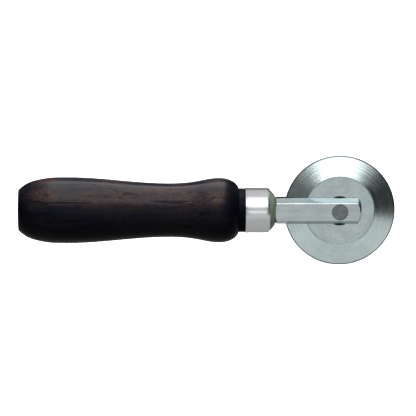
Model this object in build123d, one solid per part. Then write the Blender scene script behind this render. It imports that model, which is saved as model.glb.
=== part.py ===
from build123d import *

import os
from math import asin, cos, degrees, radians, tan

# A smooth-edged tracing wheel: a bevelled steel disc that turns on a pin in a slotted hexagon bar, whose
# tang is glued into a turned hardwood handle behind a domed collar and a ferrule. Millimetres.
# +X runs from the butt of the handle to the wheel, +Y along the axle, +Z up; the origin is the centre
# of the flat butt.

# Handle: one piece of hardwood, turned
wood_length = 100.9  # butt to the front of the bulb
butt_radius, butt_ease = 9.1, 0.5  # the flat end face, and the easing of its edge
shoulder = (4.6, 12.65)  # the round shoulder behind the belly: along, radius
flank = (11.0, 14.45)  # where the shoulder runs out into the belly: along, radius
belly_at, belly_radius = 22.5, 15.2
waist_back, waist_radius = 31.5, 12.38  # along, measured back from the front of the bulb
rise_back, rise_radius = 18.4, 13.55  # half-way up from the waist to the bulb
bulb_back, bulb_radius = 8.9, 14.9
bulb_round = 5.5  # how far the front of the bulb falls, as a quarter of an ellipse
neck_radius, neck_length = 10.08, 3.0  # the bare neck between the bulb and the ferrule
spigot_radius = 9.0  # the reduced end that the ferrule slides over

# Ferrule: a spun aluminium tube, and the collar that plugs its front end
ferrule_length, ferrule_radius = 11.15, 10.36
ferrule_lip, ferrule_lip_length = 0.12, 0.7  # the rolled lip at its back edge
ferrule_nose = 0.9  # the rounding of its front edge
collar_plug_length = 2.4  # how far the collar reaches into the ferrule
collar_radius, collar_front_radius, collar_length = 9.4, 6.0, 2.65
collar_bulge = 0.3  # how far the dome stands out from a plain cone

# Fork: hexagon bar with two faces milled flat, slotted for the wheel, turned down to a tang
bar_across_flats = 12.4
bar_thickness = 10.6  # over the two milled faces
bar_corner = 0.5  # rounding along the corners of the milled faces
web_length = 0.15  # solid bar behind the root of the slot, in front of the tang
rear_chamfer_radius, front_chamfer_radius = 5.6, 4.5  # where the turned chamfers meet the end faces
rear_chamfer_angle, front_chamfer_angle = 20.0, 37.0  # from the end faces
slot_root_gap = 3.85  # from the wheel's edge to the flat root of the slot
end_past_axle = 9.8  # from the axle to the front end of the bar
tang_radius, tang_length, tang_point = 4.0, 56.0, 1.2

# Wheel, with its bush, washers and pin
wheel_radius, wheel_thickness = 25.4, 3.2
hub_radius = 15.85  # the flat in the middle, inside the bevel
rim_thickness, rim_crown = 0.9, 0.35  # the blunt edge and how far it is rounded
bush_radius = 5.0
washer_radius, washer_thickness = 6.8, 0.3
pin_radius = 3.5
pin_flare, pin_flare_length = 0.2, 0.4  # the riveted ends fill a shallow countersink

# Clearances
glue_gap = 0.05  # between glued pieces
running_gap = 0.05  # between the pin and what turns on it
press_gap = 0.01  # between pieces that are pressed together
washer_gap = 0.05  # between a washer and the ear of the fork

slot_width = wheel_thickness + 2 * (washer_thickness + washer_gap)
bar_length = web_length + slot_root_gap + wheel_radius + end_past_axle
bar_start = wood_length + neck_length + ferrule_length + collar_length
axle_at = bar_start + bar_length - end_past_axle
along = (Align.CENTER, Align.CENTER, Align.MIN)


def turned(outline):
    """A solid turned about X from a closed outline drawn as (along, radius)."""
    return revolve(make_face(outline), Axis.X)


def straight_lines(*points):
    return Polyline(*points).edges()


def rod(radius, length, start):
    """A round bar along X."""
    return Pos(start, 0, 0) * Rot(0, 90, 0) * Cylinder(radius, length, align=along)


def across(radius, length, middle=0):
    """A round bar along Y, on the axle, centred on its middle."""
    return Pos(axle_at, middle, 0) * Rot(90, 0, 0) * Cylinder(radius, length)


def handle():
    waist_at = wood_length - waist_back
    rise_at = wood_length - rise_back
    bulb_at = wood_length - bulb_back
    round_centre = bulb_radius - bulb_round
    neck_angle = asin((neck_radius - round_centre) / bulb_round)
    bulb_end = bulb_at + bulb_back * cos(neck_angle)
    neck_end = wood_length + neck_length
    spigot_end = neck_end + ferrule_length - collar_plug_length - glue_gap
    butt_edge = CenterArc((butt_ease, butt_radius), butt_ease, 135, 45)
    back = Spline(butt_edge @ 0, shoulder, flank, (belly_at, belly_radius), tangents=[(1, 1), (1, 0)])
    taper = Spline((belly_at, belly_radius), (waist_at, waist_radius), tangents=[(1, 0), (1, 0)])
    rise = Spline(
        (waist_at, waist_radius),
        (rise_at, rise_radius),
        (bulb_at, bulb_radius),
        tangents=[(1, 0), (1, 0)],
    )
    neck_degrees = degrees(neck_angle)
    bulb = EllipticalCenterArc(
        (bulb_at, round_centre), bulb_back, bulb_round, neck_degrees, arc_size=90 - neck_degrees
    )
    ends = straight_lines(
        (bulb_end, neck_radius),
        (neck_end, neck_radius),
        (neck_end, spigot_radius),
        (spigot_end, spigot_radius),
        (spigot_end, 0),
        (0, 0),
        (0, butt_radius),
    )
    wood = turned([butt_edge, back, taper, rise, bulb, *ends])
    hole_bottom = bar_start - tang_length - glue_gap
    return wood - rod(tang_radius + glue_gap, spigot_end - hole_bottom, hole_bottom)


def ferrule():
    start = wood_length + neck_length
    end = start + ferrule_length
    lip_end = start + ferrule_lip_length
    lip_radius = ferrule_radius + ferrule_lip
    bore = spigot_radius + glue_gap
    nose_start = end - ferrule_nose
    nose = CenterArc((nose_start, ferrule_radius - ferrule_nose), ferrule_nose, 0, 90)
    sides = straight_lines(
        (end, ferrule_radius - ferrule_nose),
        (end, bore),
        (start, bore),
        (start, lip_radius),
        (lip_end, lip_radius),
        (lip_end, ferrule_radius),
        (nose_start, ferrule_radius),
    )
    return turned([nose, *sides])


def collar():
    start = wood_length + neck_length + ferrule_length
    end = start + collar_length
    hole = tang_radius + glue_gap
    cone = Line((start, collar_radius), (end, collar_front_radius))
    outward = (cone % 0.5).rotate(Axis.Z, 90)
    dome = ThreePointArc(cone @ 0, cone @ 0.5 + outward * collar_bulge, cone @ 1)
    sides = straight_lines(
        (end, collar_front_radius),
        (end, hole),
        (start - collar_plug_length, hole),
        (start - collar_plug_length, spigot_radius),
        (start, spigot_radius),
        (start, collar_radius),
    )
    return turned([dome, *sides])


def bar_section():
    """The hexagon, corners up and down, with its two side faces milled flat."""
    hexagon = RegularPolygon(bar_across_flats / 2, 6, major_radius=False, rotation=30)
    milled = hexagon & Rectangle(bar_thickness, 2 * bar_across_flats)
    side_corners = [v for v in milled.vertices() if abs(v.X) > bar_thickness / 2 - 0.01]
    return fillet(side_corners, bar_corner)


def fork():
    end = bar_start + bar_length
    bar = extrude(Plane.YZ.offset(bar_start) * bar_section(), bar_length)
    reach = bar_across_flats
    rear = (reach - rear_chamfer_radius) * tan(radians(rear_chamfer_angle))
    front = (reach - front_chamfer_radius) * tan(radians(front_chamfer_angle))
    chamfers = turned(
        straight_lines(
            (bar_start, 0),
            (bar_start, rear_chamfer_radius),
            (bar_start + rear, reach),
            (end - front, reach),
            (end, front_chamfer_radius),
            (end, 0),
            (bar_start, 0),
        )
    )
    forward = (Align.MIN, Align.CENTER, Align.CENTER)
    slot = Pos(bar_start + web_length, 0, 0) * Box(bar_length, slot_width, 2 * reach, align=forward)
    bar = (bar & chamfers) - slot
    bar -= across(pin_radius + press_gap, 2 * reach)
    for side in (-1, 1):
        bar -= flare(side, press_gap)
    tang = rod(tang_radius, tang_length + press_gap, bar_start - tang_length)
    point = tang.edges().sort_by(Axis.X)[0]
    return bar + chamfer(point, tang_point)


def flare(side, gap):
    """The cone at one end of the pin, or, with a gap, the countersink that it fills."""
    face = bar_thickness / 2
    small = pin_radius + gap
    cone = Cone(small, small + pin_flare, pin_flare_length, align=along)
    return Pos(axle_at, side * (face - pin_flare_length), 0) * Rot(-90 * side, 0, 0) * cone


def axle_pin():
    pin = across(pin_radius, bar_thickness)
    for side in (-1, 1):
        pin += flare(side, 0)
    return pin


def wheel():
    half, rim_half = wheel_thickness / 2, rim_thickness / 2
    bore = bush_radius + press_gap
    edge = wheel_radius - rim_crown
    rim = ThreePointArc((edge, -rim_half), (wheel_radius, 0), (edge, rim_half))
    faces = straight_lines(
        (edge, rim_half),
        (hub_radius, half),
        (bore, half),
        (bore, -half),
        (hub_radius, -half),
        (edge, -rim_half),
    )
    return Pos(axle_at, 0, 0) * revolve(make_face([rim, *faces]), Axis.Y)


def wheel_bush():
    return across(bush_radius, wheel_thickness) - across(pin_radius + running_gap, wheel_thickness)


def washer(side):
    middle = side * (wheel_thickness + washer_thickness) / 2
    hole = across(pin_radius + running_gap, washer_thickness, middle)
    return across(washer_radius, washer_thickness, middle) - hole


pieces = {
    "handle": handle(),
    "ferrule": ferrule(),
    "collar": collar(),
    "fork": fork(),
    "axle_pin": axle_pin(),
    "wheel": wheel(),
    "wheel_bush": wheel_bush(),
    "left_washer": washer(1),
    "right_washer": washer(-1),
}

os.makedirs("parts", exist_ok=True)
for name, piece in pieces.items():
    export_step(piece, f"parts/{name}.step")
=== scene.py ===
import math

import bpy
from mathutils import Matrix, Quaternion, Vector


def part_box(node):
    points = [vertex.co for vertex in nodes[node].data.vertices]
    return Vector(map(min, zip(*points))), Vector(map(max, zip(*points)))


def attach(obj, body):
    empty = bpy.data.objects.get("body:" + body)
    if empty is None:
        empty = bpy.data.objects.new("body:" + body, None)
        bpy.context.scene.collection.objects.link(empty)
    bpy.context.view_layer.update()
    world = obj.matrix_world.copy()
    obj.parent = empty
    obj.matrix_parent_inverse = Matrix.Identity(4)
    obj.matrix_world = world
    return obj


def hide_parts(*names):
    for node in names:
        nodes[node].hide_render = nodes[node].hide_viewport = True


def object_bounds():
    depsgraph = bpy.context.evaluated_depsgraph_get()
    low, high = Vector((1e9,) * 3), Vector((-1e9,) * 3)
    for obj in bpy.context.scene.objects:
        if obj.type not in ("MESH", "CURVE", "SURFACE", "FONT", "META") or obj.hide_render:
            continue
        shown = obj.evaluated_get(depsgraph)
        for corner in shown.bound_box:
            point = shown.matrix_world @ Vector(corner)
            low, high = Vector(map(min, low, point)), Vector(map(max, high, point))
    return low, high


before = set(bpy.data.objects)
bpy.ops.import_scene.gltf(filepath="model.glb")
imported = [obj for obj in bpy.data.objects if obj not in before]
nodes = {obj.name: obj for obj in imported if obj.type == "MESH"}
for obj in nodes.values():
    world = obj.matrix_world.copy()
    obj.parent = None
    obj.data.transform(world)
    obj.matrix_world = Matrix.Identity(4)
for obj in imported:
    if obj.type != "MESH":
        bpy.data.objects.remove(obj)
cad_low, cad_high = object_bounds()


# The studio: a white sheet of floor under the tool, one softbox for the floor and the collar, another
# for the wood, both flagged off the steel, and a room of dark walls, bright opening and white sheet that
# the steel mirrors. The camera faces the milled side of the bar.
class Signal:
    """A value on its way through a node tree, so that sums written on it add the Math nodes."""

    def __init__(self, tree, socket):
        self.tree = tree
        self.socket = socket

    def maths(self, operation, *inputs):
        settings = {"operation": operation}
        return self.tree.node("ShaderNodeMath", settings, dict(enumerate(inputs)))

    def __add__(self, other):
        return self.maths("ADD", self, other)

    __radd__ = __add__

    def __sub__(self, other):
        return self.maths("SUBTRACT", self, other)

    def __rsub__(self, other):
        return self.maths("SUBTRACT", other, self)

    def __mul__(self, other):
        return self.maths("MULTIPLY", self, other)

    __rmul__ = __mul__


class Tree:
    """The node tree of a finish or of the room, and one way to add any node to it."""

    def __init__(self, owner):
        owner.use_nodes = True
        self.owner = owner
        self.nodes = owner.node_tree.nodes
        self.links = owner.node_tree.links

    def feed(self, node, inputs):
        for socket, value in inputs.items():
            if isinstance(value, Signal):
                self.links.new(value.socket, node.inputs[socket])
            else:
                node.inputs[socket].default_value = value

    def node(self, kind, settings, inputs, output=0):
        new = self.nodes.new(kind)
        for setting, value in settings.items():
            if setting == "stops":
                while len(new.color_ramp.elements) < len(value):
                    new.color_ramp.elements.new(1)
                for element, (position, level) in zip(new.color_ramp.elements, value):
                    element.position = position
                    element.color = (level, level, level, 1)
            else:
                setattr(new, setting, value)
        self.feed(new, inputs)
        return Signal(self, new.outputs[output])

    def vector(self, operation, *inputs, output=0):
        settings = {"operation": operation}
        return self.node("ShaderNodeVectorMath", settings, dict(enumerate(inputs)), output)

    def ramp(self, value, *stops):
        return self.node("ShaderNodeValToRGB", {"stops": stops}, {0: value})

    def rise(self, value, low, high):
        """Goes smoothly from 0 to 1 as the value goes from low to high."""
        settings = {"interpolation_type": "SMOOTHSTEP"}
        return self.node("ShaderNodeMapRange", settings, {0: value, 1: low, 2: high})

    def blend(self, amount, first, second):
        """One colour going over into another."""
        inputs = {0: amount}
        for socket, colour in ((6, first), (7, second)):
            inputs[socket] = (*colour, 1) if isinstance(colour, tuple) else colour
        return self.node("ShaderNodeMix", {"data_type": "RGBA"}, inputs, 2)


class Finish(Tree):
    """One material: a shader whose plain sockets are set here, and the nodes that feed the others."""

    def __init__(self, name, **sockets):
        super().__init__(bpy.data.materials.new(name))
        self.surface(**sockets)

    def surface(self, **sockets):
        """Sets or feeds the shader's sockets, and gives the material."""
        inputs = {word.replace("_", " "): value for word, value in sockets.items()}
        self.feed(self.nodes["Principled BSDF"], inputs)
        return self.owner

    def place(self, middle=(0, 0, 0), scale=(1, 1, 1)):
        """Where a point is on the piece, counted from middle and stretched by scale."""
        here = self.node("ShaderNodeTexCoord", {}, {}, "Object")
        return self.vector("MULTIPLY", self.vector("SUBTRACT", here, middle), scale)

    def noise(self, vector, scale, detail=2.0, roughness=0.5, distortion=0.0):
        inputs = {
            "Vector": vector,
            "Scale": scale,
            "Detail": detail,
            "Roughness": roughness,
            "Distortion": distortion,
        }
        return self.node("ShaderNodeTexNoise", {}, inputs)

    def bump(self, height, depth, strength=1.0):
        inputs = {"Height": height, "Distance": depth, "Strength": strength}
        return self.node("ShaderNodeBump", {}, inputs)


def pick(piece):
    """Makes one object the only one selected, and active."""
    bpy.ops.object.select_all(action="DESELECT")
    piece.select_set(True)
    bpy.context.view_layer.objects.active = piece


middle = (cad_low + cad_high) / 2
floor_size = 8.0
bpy.ops.object.select_all(action="DESELECT")
bpy.ops.mesh.primitive_plane_add(size=floor_size, location=(middle.x, middle.y, cad_low.z))
floor = bpy.context.object
floor.name = "studio_floor"
floor.visible_glossy = False
floor.visible_diffuse = False
paper = Finish("white_paper", Roughness=0.9, Emission_Strength=1.0)
paper_tone = paper.blend(paper.noise(paper.place(), 40, detail=3), (0.80, 0.80, 0.80), (0.84, 0.84, 0.84))
floor.data.materials.append(paper.surface(Base_Color=paper_tone, Emission_Color=(1, 1, 1, 1)))


def direction(azimuth, elevation):
    """The way out from the tool, for angles in radians; azimuth 0 is square in front of it."""
    level_part = math.cos(elevation)
    return Vector((math.sin(azimuth) * level_part, -math.cos(azimuth) * level_part, math.sin(elevation)))


def softbox(name, elevation, distance, width, height, power):
    """A rectangular lamp that faces the tool and lights only what is put in the collection of its name."""
    to_lamp = direction(0, math.radians(elevation))
    bpy.ops.object.light_add(type="AREA", location=middle + to_lamp * distance)
    lamp = bpy.context.object
    lamp.name = name
    lamp.rotation_euler = to_lamp.to_track_quat("Z", "Y").to_euler()
    lamp.data.shape = "RECTANGLE"
    lamp.data.size = width
    lamp.data.size_y = height
    lamp.data.energy = power
    lamp.visible_camera = False
    lamp.light_linking.receiver_collection = bpy.data.collections.new(name)
    return lamp.light_linking.receiver_collection


key = softbox("key_softbox", elevation=59, distance=1.0, width=0.60, height=0.94, power=23)
strip = softbox("handle_strip", elevation=84, distance=0.8, width=0.50, height=1.65, power=30)
key.objects.link(floor)

# The room is a level for each direction looked in, which three signals give, from -1 to 1.
bpy.context.scene.world = bpy.data.worlds.new("studio_room")
room = Tree(bpy.context.scene.world)
sight = room.node("ShaderNodeTexCoord", {}, {}, "Generated")
split = room.node("ShaderNodeSeparateXYZ", {}, {0: sight})
sideways, away, upward = (Signal(room, split.socket.node.outputs[axis]) for axis in "XYZ")


def band(value, low, high, blur):
    """1 where the value lies between low and high, and 0 outside, with blurred borders."""
    return room.rise(value, low - blur, low + blur) - room.rise(value, high - blur, high + blur)


# In front: the floor's sheet, dark walls with a window on each side, a tall narrow opening, and a window
# overhead. Behind: the same sheet and walls, and a pale ceiling.
side_on = sideways.maths("ABSOLUTE", sideways)
sheet = 1 - room.rise(upward, -0.245, -0.215)
narrow = room.rise(sideways, -0.105, -0.045) - room.rise(sideways, 0.130, 0.240)
side_windows = band(side_on, 0.50, 0.80, 0.08) * 0.3
walls = 0.14 - room.rise(sideways, -0.1, 0.1) * 0.12 + side_windows
opening = narrow * (band(upward, -0.24, 0.45, 0.02) * 0.5 + band(upward, -0.06, 0.12, 0.03) * 2.0)
pane = band(upward, 0.50, 0.85, 0.03) * 1.6 + band(upward, 0.50, 0.98, 0.03) * 1.7
window = pane * (1 - room.rise(side_on, 0.25, 0.40))
paper_level = 0.5 + room.rise(upward, -0.6, -0.35) * 0.28
front = walls + opening + window + sheet * (paper_level - walls)
ceiling = 0.7
rear = walls + opening * 0.6 + sheet * (0.45 - walls)
rear = rear + room.rise(upward, 0.55, 0.75) * (ceiling - rear)
mirrored = front + room.rise(away, -0.1, 0.1) * (rear - front)

# Only mirrored light sees the room. Matt surfaces get an even fill, and the camera sees plain white.
fill = 0.13
ray = room.node("ShaderNodeLightPath", {}, {}, "Is Glossy Ray")
seen = room.node("ShaderNodeLightPath", {}, {}, "Is Camera Ray")
level = fill + ray * (mirrored - fill)
level = level + seen * (1 - level)
room.feed(room.nodes["Background"], {"Color": (1, 1, 1, 1), "Strength": level})

camera_azimuth, camera_elevation = math.radians(-1.2), math.radians(11)
camera_roll = math.radians(0.23)
camera_distance, camera_lens = 1.5, 283.4
camera_target = Vector((0.0868, 0, 0.0010))
to_camera = direction(camera_azimuth, camera_elevation)
bpy.ops.object.camera_add(location=camera_target + to_camera * camera_distance)
camera = bpy.context.object
upright = to_camera.to_track_quat("Z", "Y")
camera.rotation_euler = (Quaternion(to_camera, camera_roll) @ upright).to_euler()
camera.data.lens = camera_lens
camera.data.sensor_width = 36
camera.data.clip_start = 0.01
bpy.context.scene.camera = camera
bpy.context.scene.view_settings.view_transform = "Standard"


# The handle: close-grained hardwood turned between centres, with a belly for the palm, a waist, and a
# bulb that stops the fingers. It is stained nearly black and lacquered, its warm brown patches and
# brighter pores are kept to the top half as painted light over the real stain, and the short neck in front
# stays dull.
def turned(name, outline, centre, axis, sides):
    """A piece turned on the lathe: the outline drawn point by point, then spun about its axis."""
    bpy.ops.object.select_all(action="DESELECT")
    bpy.ops.mesh.primitive_plane_add(size=0.001, location=(0, 0, 0))
    piece = bpy.context.object
    piece.name = name
    bpy.ops.object.mode_set(mode="EDIT")
    bpy.ops.mesh.select_all(action="SELECT")
    bpy.ops.mesh.merge(type="CENTER")
    bpy.ops.transform.translate(value=outline[0])
    for start, end in zip(outline, outline[1:]):
        bpy.ops.mesh.extrude_region_move(TRANSFORM_OT_translate={"value": end - start})
    bpy.ops.mesh.select_all(action="SELECT")
    bpy.ops.mesh.spin(steps=sides, angle=2 * math.pi, center=centre, axis=axis)
    bpy.ops.mesh.select_all(action="SELECT")
    bpy.ops.mesh.remove_doubles(threshold=0.000004)
    bpy.ops.mesh.normals_make_consistent(inside=False)
    bpy.ops.object.mode_set(mode="OBJECT")
    return piece


def finished(piece, edge, smooth_angle=40):
    """Breaks a piece's sharp edges and shades it smooth."""
    pick(piece)
    if edge:
        bevel = piece.modifiers.new("broken_edges", "BEVEL")
        bevel.width = edge
        bevel.segments = 3
        bevel.limit_method = "ANGLE"
        bevel.angle_limit = math.radians(25)
        bpy.ops.object.modifier_apply(modifier=bevel.name)
    bpy.ops.object.shade_smooth_by_angle(angle=math.radians(smooth_angle))


def radius_at(node, along):
    """How far the surface of a CAD node stands from the handle's axis."""
    outside = Vector((along, -1, 0))
    return -nodes[node].ray_cast(outside, Vector((0, 1, 0)))[1].y


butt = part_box("handle")[0].x
neck_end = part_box("ferrule")[0].x
neck_length = 0.003
butt_flat = 0.0091
bulb_front = neck_end - neck_length
skin = 0.00002
end_step = 0.0001
stations = 56
grip_outline = []
for step in range(stations + 1):
    share = (1 - math.cos(math.pi * step / stations)) / 2
    along = butt + end_step + (bulb_front - butt - 2 * end_step) * share
    grip_outline.append(Vector((along, radius_at("handle", along) - skin, 0)))
neck_radius = radius_at("handle", neck_end - neck_length / 2)
handle_outline = [
    Vector((butt, 0, 0)),
    Vector((butt, butt_flat / 2, 0)),
    Vector((butt, butt_flat, 0)),
    *grip_outline,
    Vector((bulb_front, neck_radius, 0)),
    Vector((neck_end, neck_radius, 0)),
    Vector((neck_end, 0, 0)),
]
handle = turned("turned_handle", handle_outline, (0, 0, 0), (1, 0, 0), 128)
finished(handle, 0, 35)

wood = Finish("stained_hardwood", IOR=1.5, Specular_IOR_Level=0.034)
fibres = wood.noise(wood.place(scale=(0.07, 1, 1)), 1100, detail=5, roughness=0.65)
clouds = wood.noise(wood.place(scale=(0.3, 1, 1)), 110, detail=5, roughness=0.6, distortion=0.4)
figure = wood.ramp(clouds, (0.36, 0.0), (0.64, 1.0))
pored = wood.noise(wood.place(scale=(0.55, 1, 1)), 1500, detail=5, roughness=0.70)
pores = wood.ramp(pored, (0.42, 0.0), (0.64, 1.0))
mottled = wood.noise(wood.place((0.01, 0.01, 0), scale=(0.5, 1, 1)), 900, detail=3)
stain = wood.ramp(mottled, (0.46, 0.0), (0.62, 1.0))
grain = wood.noise(wood.place(scale=(0.035, 1, 1)), 260, detail=3, roughness=0.45)
off_line = grain - 0.5
grain_line = 1 - wood.rise(off_line.maths("ABSOLUTE", off_line), 0.004, 0.016)
from_butt = wood.node("ShaderNodeSeparateXYZ", {}, {0: wood.place()})
height = Signal(wood, from_butt.socket.node.outputs["Z"])
# Painted light: the top half of the handle gets warm brown patches and brighter pores, where the lamp's
# light falls.
painted_light_top = wood.rise(height + (clouds - 0.5) * 0.006, 0.002, 0.009)
warm_patch_noise = wood.noise(wood.place((0.03, 0, 0), scale=(0.6, 1, 1)), 85, detail=3, roughness=0.6)
warm_patches_and_painted_light = wood.ramp(warm_patch_noise, (0.40, 0.0), (0.62, 1.0)) * painted_light_top
brown = wood.blend(figure, (0.0022, 0.0034, 0.0064), (0.0115, 0.0108, 0.0120))
brown = wood.blend(pores * (figure * 0.20 + 0.04) * (painted_light_top * 0.6 + 0.4), brown, (0.090, 0.042, 0.026))
brown = wood.blend(warm_patches_and_painted_light * (pores * 0.3 + 0.10), brown, (0.090, 0.032, 0.014))
brown = wood.blend(stain * 0.40, brown, (0.0045, 0.0070, 0.0240))
brown = wood.blend(grain_line * 0.75, brown, (0.0014, 0.0014, 0.0020))
streaked = wood.ramp(fibres, (0.40, 0.0), (0.62, 1.0))
brown = wood.blend(streaked * 0.35, brown, (0.0020, 0.0020, 0.0030))

# One shake, a dark split along the grain, starts near the butt. Both ends are darker in colour: painted
# shade.
shake_height = 0.0058
off_shake = height - shake_height - (clouds - 0.5) * 0.004
shake = 1 - wood.rise(off_shake.maths("ABSOLUTE", off_shake), 0.00015, 0.00050)
shake = shake * (wood.rise(from_butt, 0.003, 0.008) - wood.rise(from_butt, 0.028, 0.038))
brown = wood.blend(shake * 0.8, brown, (0.0008, 0.0008, 0.0012))
wavy = from_butt + (clouds - 0.5) * 0.008
# Painted shade: the butt end and the front of the bulb with the neck are darkened in colour.
ends_painted_shade = 1 - wood.rise(wavy, 0.001, 0.012) + wood.rise(wavy, bulb_front - 0.010, bulb_front - 0.003)
brown = wood.blend(ends_painted_shade * 0.90, brown, (0.0008, 0.0012, 0.0034))
on_neck = wood.rise(from_butt, bulb_front - 0.0008, bulb_front)
lacquer = wood.bump(fibres * 0.6 - grain_line * 0.5 - shake * 0.8, 0.00005, 0.6)
dullness = figure * 0.08 + fibres * 0.16 + grain_line * 0.25 + shake * 0.3 + on_neck * 0.4 + 0.13
handle.data.materials.append(wood.surface(Base_Color=brown, Roughness=dullness, Normal=lacquer))
strip.objects.link(handle)
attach(handle, "frame")
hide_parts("handle")


# The ferrule: aluminium tube spun over the end of the wood, with a small rolled lip at the back and a
# rounded front edge. Turning leaves faint rings round it.
ferrule_low, ferrule_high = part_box("ferrule")
ferrule_middle = (ferrule_low.x + ferrule_high.x) / 2
ferrule_radius = radius_at("ferrule", ferrule_middle)
ferrule_bore = 0.00905
lip_height = ferrule_high.y - ferrule_radius
lip_length = 0.0007
nose_length, nose_depth = 0.0017, 0.0009
ferrule_outline = [
    Vector((ferrule_low.x, ferrule_bore, 0)),
    Vector((ferrule_low.x, ferrule_radius + lip_height, 0)),
    Vector((ferrule_low.x + lip_length, ferrule_radius + lip_height, 0)),
    Vector((ferrule_low.x + lip_length * 1.3, ferrule_radius, 0)),
    Vector((ferrule_middle, ferrule_radius, 0)),
]
nose_start = ferrule_high.x - nose_length
nose_steps = 8
for step in range(nose_steps + 1):
    turn = math.pi / 2 * (1 - step / nose_steps)
    nose_radius = ferrule_radius - nose_depth * (1 - math.sin(turn))
    ferrule_outline.append(Vector((nose_start + nose_length * math.cos(turn), nose_radius, 0)))
ferrule_outline += [Vector((ferrule_high.x, ferrule_bore, 0)), ferrule_outline[0]]
ferrule = turned("spun_ferrule", ferrule_outline, (0, 0, 0), (1, 0, 0), 128)
finished(ferrule, 0.00006)

aluminium = Finish("spun_aluminium", Metallic=1.0)
rings = aluminium.noise(aluminium.place(scale=(1, 0.02, 0.02)), 5200, detail=3, roughness=0.6)
cloud = aluminium.noise(aluminium.place(), 160, detail=3)
bright = aluminium.blend(cloud, (0.66, 0.67, 0.68), (0.78, 0.79, 0.80))
ferrule.data.materials.append(
    aluminium.surface(
        Base_Color=bright,
        Roughness=cloud * 0.12 + 0.24,
        Normal=aluminium.bump(rings, 0.000012, 0.7),
    )
)
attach(ferrule, "frame")
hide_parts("ferrule")


# The collar: a domed cap of dull green enamel that closes the front of the ferrule, with the tang of
# the bar passing through it.
collar_low, collar_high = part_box("collar")
dome_start = ferrule_high.x
dome_base = collar_high.y
dome_front, dome_bulge = 0.0060, 0.0003
tang_hole = 0.00405
plug_gap = 0.00005
dome_steps = 16
dome_out = Vector((dome_base - dome_front, collar_high.x - dome_start, 0)).normalized()
dome_outline = [
    Vector((collar_low.x, tang_hole, 0)),
    Vector((collar_low.x, ferrule_bore - plug_gap, 0)),
    Vector((dome_start, ferrule_bore - plug_gap, 0)),
]
for step in range(dome_steps + 1):
    share = step / dome_steps
    cone = Vector((dome_start, dome_base, 0)).lerp(Vector((collar_high.x, dome_front, 0)), share)
    dome_outline.append(cone + dome_out * dome_bulge * 4 * share * (1 - share))
dome_outline += [Vector((collar_high.x, tang_hole, 0)), dome_outline[0]]
collar = turned("domed_collar", dome_outline, (0, 0, 0), (1, 0, 0), 128)
finished(collar, 0.00005)

enamel = Finish("green_enamel", Coat_Weight=0.35, Coat_Roughness=0.25)
mottle = enamel.noise(enamel.place(), 420, detail=4, roughness=0.6)
orange_peel = enamel.noise(enamel.place(), 1500, detail=2)
green = enamel.blend(mottle, (0.080, 0.122, 0.080), (0.128, 0.174, 0.124))
collar.data.materials.append(
    enamel.surface(
        Base_Color=green,
        Roughness=mottle * 0.15 + 0.34,
        Normal=enamel.bump(orange_peel, 0.00002, 0.5),
    )
)
key.objects.link(collar)
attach(collar, "frame")
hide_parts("collar")


# The fork: hexagon steel bar with two faces milled flat and both ends chamfered on the lathe, slotted
# for the wheel, its tang pushed deep into the handle. The faces are ground along their length, with a
# few stray scratches and one longer score.
ground_steel = Finish("ground_steel", Metallic=1.0)
ground_lines = ground_steel.noise(ground_steel.place(scale=(0.03, 1, 1)), 2600, detail=4, roughness=0.65)
clouds = ground_steel.noise(ground_steel.place(scale=(0.4, 1, 1)), 260, detail=5, roughness=0.65)
patches = ground_steel.ramp(clouds, (0.32, 0.0), (0.68, 1.0))
streaks = ground_steel.ramp(ground_lines, (0.35, 0.0), (0.65, 1.0))
scratched = ground_steel.noise(ground_steel.place(scale=(0.05, 1, 1)), 1500, detail=1)
scratches = ground_steel.ramp(scratched, (0.68, 0.0), (0.74, 1.0))
steel_tone = ground_steel.blend(patches, (0.50, 0.60, 0.63), (0.65, 0.70, 0.69))
steel_tone = ground_steel.blend(streaks * 0.35, steel_tone, (0.42, 0.475, 0.50))
steel_tone = ground_steel.blend(scratches * 0.4, steel_tone, (0.26, 0.28, 0.28))
score_place = ground_steel.place((0.1260, -0.0053, 0.0005), scale=(0.1, 1, 2.3))
from_score = ground_steel.vector("LENGTH", score_place, output="Value")
score = 1 - ground_steel.rise(from_score, 0.0002, 0.0004)
steel_tone = ground_steel.blend(score * 0.45, steel_tone, (0.16, 0.18, 0.18))
bar_finish = ground_steel.surface(
    Base_Color=steel_tone,
    Roughness=patches * 0.06 + streaks * 0.06 + 0.13,
    Normal=ground_steel.bump(ground_lines + scratches * 0.6, 0.000006, 0.6),
)


def dress(node, finish):
    """Gives a CAD node its finish in place of the plain one."""
    nodes[node].data.materials.clear()
    nodes[node].data.materials.append(finish)


dress("fork", bar_finish)


# The axle pin: a plain steel pin, its ends riveted over into shallow countersinks and filed flush with
# the milled faces, which leaves them greyer than the bar, with a dark line round each.
axle = (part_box("axle_pin")[0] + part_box("axle_pin")[1]) / 2


def from_axle(finish):
    """How far a point stands from the line of the axle."""
    return finish.vector("LENGTH", finish.place(axle, (1, 0, 1)), output="Value")


def rings_round_axle(finish, scale, detail=3.0, waver=0.0):
    """Noise that changes only with the distance from the axle, as turning marks do."""
    distance = from_axle(finish)
    if waver:
        distance = distance + (finish.noise(finish.place(axle), 60, detail=1) - 0.5) * waver
    settings = {"noise_dimensions": "1D"}
    inputs = {"W": distance, "Scale": scale, "Detail": detail, "Roughness": 0.6}
    return finish.node("ShaderNodeTexNoise", settings, inputs)


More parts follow.
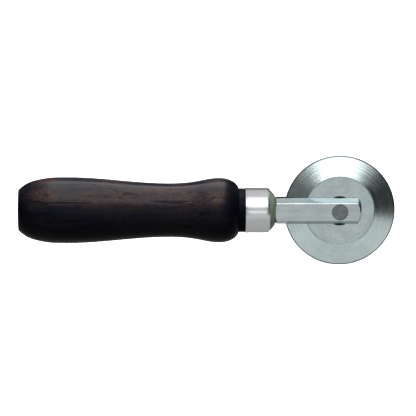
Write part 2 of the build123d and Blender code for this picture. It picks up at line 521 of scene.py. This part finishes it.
pin_radius = 0.0035
pin_steel = Finish("filed_pin_steel", Metallic=1.0)
pin_rings = rings_round_axle(pin_steel, 2500)
pin_clouds = pin_steel.noise(pin_steel.place(), 420, detail=5, roughness=0.6)
pin_cloud = pin_steel.ramp(pin_clouds, (0.32, 0.0), (0.66, 1.0))
pin_tone = pin_steel.blend(pin_cloud, (0.17, 0.19, 0.195), (0.28, 0.305, 0.31))
pin_edge = pin_steel.rise(from_axle(pin_steel), pin_radius - 0.0002, pin_radius + 0.0001)
pin_tone = pin_steel.blend(pin_edge * 0.9, pin_tone, (0.03, 0.035, 0.035))
pin_finish = pin_steel.surface(
    Base_Color=pin_tone,
    Roughness=pin_cloud * 0.12 + 0.34,
    Normal=pin_steel.bump(pin_rings, 0.000006, 0.5),
)
dress("axle_pin", pin_finish)


# The wheel: a steel disc turned with a flat hub face and a bevel on each side, a fine groove where they
# meet, and a blunt rounded edge that marks without cutting.
wheel_low, wheel_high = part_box("wheel")
wheel_radius = (wheel_high.x - wheel_low.x) / 2
hub_half = (wheel_high.y - wheel_low.y) / 2
hub_radius = 0.01585
wheel_bore = 0.00501
rim_half, rim_crown = 0.00045, 0.00035
groove_width, groove_depth = 0.00030, 0.00004


def on_wheel(radius, depth):
    return axle + Vector((radius, depth, 0))


def wheel_side(side):
    """One face of the wheel, from the bore out to the edge."""
    bevel_fall = (hub_half - rim_half) / (wheel_radius - rim_crown - hub_radius)
    points = [(wheel_bore, hub_half), ((wheel_bore + hub_radius) / 2, hub_half)]
    points += [
        (hub_radius - groove_width / 2, hub_half),
        (hub_radius, hub_half - groove_depth),
        (hub_radius + groove_width / 2, hub_half - bevel_fall * groove_width / 2),
    ]
    bevel_rings = 6
    for ring in range(1, bevel_rings + 1):
        radius = hub_radius + (wheel_radius - rim_crown - hub_radius) * ring / bevel_rings
        points.append((radius, hub_half - bevel_fall * (radius - hub_radius)))
    return [on_wheel(radius, side * depth) for radius, depth in points]


rim = []
rim_steps = 8
rim_curve = (rim_half**2 + rim_crown**2) / (2 * rim_crown)
for step in range(1, rim_steps):
    depth = rim_half * (1 - 2 * step / rim_steps)
    rim.append(on_wheel(wheel_radius - rim_curve + math.sqrt(rim_curve**2 - depth**2), depth))
left_side, right_side = wheel_side(1), wheel_side(-1)
wheel_outline = [*left_side, *rim, *reversed(right_side), left_side[0]]
wheel = turned("bevelled_wheel", wheel_outline, axle, (0, 1, 0), 256)
finished(wheel, 0, 12)

turned_steel = Finish("turned_steel", Metallic=1.0)
fine_rings = rings_round_axle(turned_steel, 5000, detail=3)
broad_rings = rings_round_axle(turned_steel, 1300, detail=3, waver=0.0004)
reach = from_axle(turned_steel)
on_bevel = turned_steel.rise(reach, hub_radius - 0.0001, hub_radius + 0.0001)
clouds = turned_steel.noise(turned_steel.place(), 190, detail=6, roughness=0.65)
smudges = turned_steel.ramp(clouds, (0.30, 0.0), (0.70, 1.0))
rings = turned_steel.ramp(broad_rings, (0.35, 0.0), (0.65, 1.0))
specked = turned_steel.noise(turned_steel.place(), 900, detail=2)
specks = turned_steel.ramp(specked, (0.68, 0.0), (0.73, 1.0))
disc_tone = turned_steel.blend(smudges, (0.51, 0.615, 0.63), (0.66, 0.745, 0.735))
disc_tone = turned_steel.blend(rings * 0.25, disc_tone, (0.42, 0.50, 0.51))
disc_tone = turned_steel.blend(specks * 0.45, disc_tone, (0.24, 0.27, 0.27))
off_groove = reach - hub_radius
# Painted shade: the fine groove round the hub is darkened in colour.
groove_painted_shade = 1 - turned_steel.rise(off_groove.maths("ABSOLUTE", off_groove), 0.00008, 0.00022)
disc_tone = turned_steel.blend(groove_painted_shade * (smudges * 0.5 + 0.2), disc_tone, (0.10, 0.115, 0.115))
# Painted shade: a dark band round the wheel's outer edge, where the rounded rim turns away from the light.
rim_painted_shade = turned_steel.rise(reach, wheel_radius - 0.0008, wheel_radius - 0.0004)
disc_tone = turned_steel.blend(rim_painted_shade * 0.9, disc_tone, (0.05, 0.06, 0.06))
wheel.data.materials.append(
    turned_steel.surface(
        Base_Color=disc_tone,
        Roughness=smudges * (0.07 - on_bevel * 0.055) + rings * 0.03 + 0.11,
        Normal=turned_steel.bump(fine_rings * 0.2 + broad_rings * on_bevel, 0.00002, 1.0),
    )
)
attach(wheel, "wheel_set")
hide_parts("wheel")


# The bush and the washers: a bronze sleeve pressed into the wheel, and a black nylon washer on each
# side of it that keeps the steel of the wheel off the steel of the bar.
bronze = Finish("sintered_bronze", Metallic=1.0)
sinter = bronze.noise(bronze.place(), 2600, detail=3)
bush_finish = bronze.surface(
    Base_Color=bronze.blend(sinter, (0.36, 0.22, 0.09), (0.52, 0.34, 0.15)),
    Roughness=sinter * 0.2 + 0.4,
    Normal=bronze.bump(sinter, 0.00002, 0.4),
)
dress("wheel_bush", bush_finish)

nylon = Finish("black_nylon", IOR=1.45)
moulding = nylon.noise(nylon.place(), 1800, detail=3)
nylon_finish = nylon.surface(
    Base_Color=nylon.blend(moulding, (0.006, 0.006, 0.006), (0.014, 0.014, 0.013)),
    Roughness=moulding * 0.15 + 0.5,
    Normal=nylon.bump(moulding, 0.00001, 0.4),
)
for washer in ("left_washer", "right_washer"):
    dress(washer, nylon_finish)
